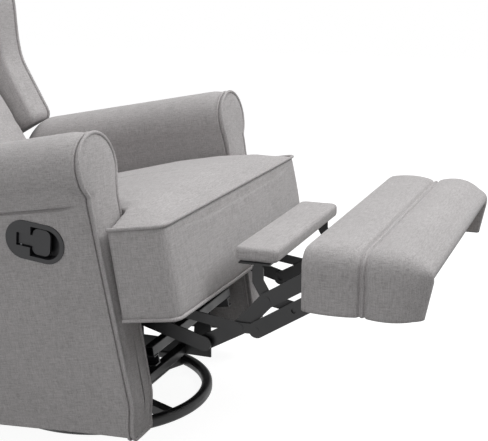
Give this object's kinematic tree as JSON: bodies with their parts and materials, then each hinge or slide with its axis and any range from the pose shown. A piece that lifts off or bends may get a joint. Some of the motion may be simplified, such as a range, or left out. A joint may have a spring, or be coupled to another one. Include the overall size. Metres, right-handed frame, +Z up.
{
  "type": "swivel glider recliner",
  "caption": "upholstered recliner with rolled arms and a wing back, hanging-link glide on a swivelling ring base, footrest and flipper pad folded out on a steel linkage",
  "frame": {"origin": "on the floor at the swivel axis, under the middle of the ring base", "axes": "+X to the sitter's left, -Y the way the chair faces, +Z up"},
  "size_m": [0.786, 1.488, 0.9958],
  "materials": {
    "upholstery": "woven, matte",
    "timber": "raw",
    "black_steel": "satin black powder coat",
    "grey_steel": "satin grey",
    "bright_steel": "zinc",
    "lever_plastic": "moulded, satin"
  },
  "bodies": {
    "base": {"base_ring": "black_steel", "base_cross": "black_steel", "bearing_lower_race": "bright_steel"},
    "swivel": {"bearing_upper_race": "bright_steel", "bearing_balls": "bright_steel", "swivel_bolt": "bright_steel", "swivel_frame": "black_steel", "glide_bracket_left": "black_steel", "glide_bracket_right": "black_steel", "glide_hanger_pins": "black_steel"},
    "front_glide": {"front_glide_links": "black_steel"},
    "rear_glide": {"rear_glide_links": "black_steel"},
    "drive_links": {"drive_link_left": "black_steel", "drive_link_right": "black_steel", "drive_link_rivets": "black_steel"},
    "rear_links": {"rear_links": "black_steel"},
    "long_links": {"long_link_left": "black_steel", "long_link_right": "black_steel", "long_link_rivets": "black_steel"},
    "control_links": {"control_links": "black_steel"},
    "footrest": {"footrest_brackets": "black_steel", "footrest_board": "timber", "footrest_pad": "upholstery"},
    "flipper": {"flipper_brackets": "black_steel", "flipper_board": "timber", "flipper_pad": "upholstery"},
    "lever": {"release_paddle": "lever_plastic"},
    "back": {"back_frame": "timber", "back_hinges": "black_steel", "back_cushion": "upholstery", "wing_left": "upholstery", "wing_right": "upholstery", "outside_back": "upholstery"},
    "carriage": {"arm_front_panel_left": "upholstery", "arm_front_panel_right": "upholstery", "arm_left": "upholstery", "arm_right": "upholstery", "back_pivot_pins": "black_steel", "front_cross_tube": "grey_steel", "glide_carriage_pins": "black_steel", "glide_rail_left": "grey_steel", "glide_rail_right": "grey_steel", "lever_cup": "lever_plastic", "lever_pin": "bright_steel", "linkage_root_pins": "black_steel", "middle_cross_tube": "grey_steel", "mounting_angles": "black_steel", "rear_body_panel": "upholstery", "rear_cross_tube": "grey_steel", "seat_cushion": "upholstery", "seat_front_panel": "upholstery", "seat_front_rail": "timber", "seat_rear_rail": "timber", "seat_side_rails": "timber", "seat_springs": "bright_steel", "side_plate_left": "black_steel", "side_plate_right": "black_steel"}
  },
  "joints": [
    {"name": "swivel", "type": "hinge", "parent": "base", "child": "swivel", "pos_m": [0, 0, 0.03], "axis": [0, 0, 1], "continuous": true},
    {"name": "glide", "type": "hinge", "parent": "swivel", "child": "front_glide", "pos_m": [0, -0.16863, 0.23136], "axis": [-1, 0, 0], "range_deg": [0, 28.25]},
    {"name": "rear_glide_swing", "type": "hinge", "parent": "swivel", "child": "rear_glide", "pos_m": [0, 0.19868, 0.23136], "axis": [-1, 0, 0], "range_deg": [0, 22.9]},
    {"name": "carriage_tilt", "type": "hinge", "parent": "front_glide", "child": "carriage", "pos_m": [0, -0.07697, 0.15391], "axis": [-1, 0, 0], "range_deg": [-39.5, 0]},
    {"name": "footrest_drive", "type": "hinge", "parent": "carriage", "child": "drive_links", "pos_m": [0, -0.24892, 0.32312], "axis": [1, 0, 0], "range_deg": [0, 123.26]},
    {"name": "rear_link_swing", "type": "hinge", "parent": "carriage", "child": "rear_links", "pos_m": [0, -0.17992, 0.28413], "axis": [1, 0, 0], "range_deg": [0, 123.5]},
    {"name": "long_link_level", "type": "hinge", "parent": "drive_links", "child": "long_links", "pos_m": [0, -0.40996, 0.27889], "axis": [1, 0, 0], "range_deg": [-123.5, 0]},
    {"name": "control_link_swing", "type": "hinge", "parent": "drive_links", "child": "control_links", "pos_m": [0, -0.44585, 0.27987], "axis": [1, 0, 0], "range_deg": [-123.5, 0]},
    {"name": "footrest_turn", "type": "hinge", "parent": "long_links", "child": "footrest", "pos_m": [0, -0.54495, 0.38789], "axis": [1, 0, 0], "range_deg": [0, 81.2]},
    {"name": "flipper_turn", "type": "hinge", "parent": "long_links", "child": "flipper", "pos_m": [0, -0.46182, 0.33619], "axis": [1, 0, 0], "range_deg": [0, 98.8]},
    {"name": "back_recline", "type": "hinge", "parent": "carriage", "child": "back", "pos_m": [0, 0.30885, 0.25464], "axis": [-1, 0, 0], "range_deg": [0, 28]},
    {"name": "release_lever", "type": "hinge", "parent": "carriage", "child": "lever", "pos_m": [-0.3666, -0.03735, 0.4541], "axis": [0.0542, 0.1214, -0.9911], "range_deg": [0, 45], "stiffness_Nm_per_rad": 0.25}
  ],
  "couplings": [
    {"joint": "rear_glide_swing", "follows": "glide", "ratio": 0.806},
    {"joint": "carriage_tilt", "follows": "glide", "ratio": -1.3957},
    {"joint": "rear_link_swing", "follows": "footrest_drive", "ratio": 1},
    {"joint": "long_link_level", "follows": "footrest_drive", "ratio": -1},
    {"joint": "control_link_swing", "follows": "footrest_drive", "ratio": -1},
    {"joint": "footrest_turn", "follows": "footrest_drive", "ratio": 0.6568},
    {"joint": "flipper_turn", "follows": "footrest_drive", "ratio": 0.8}
  ]
}
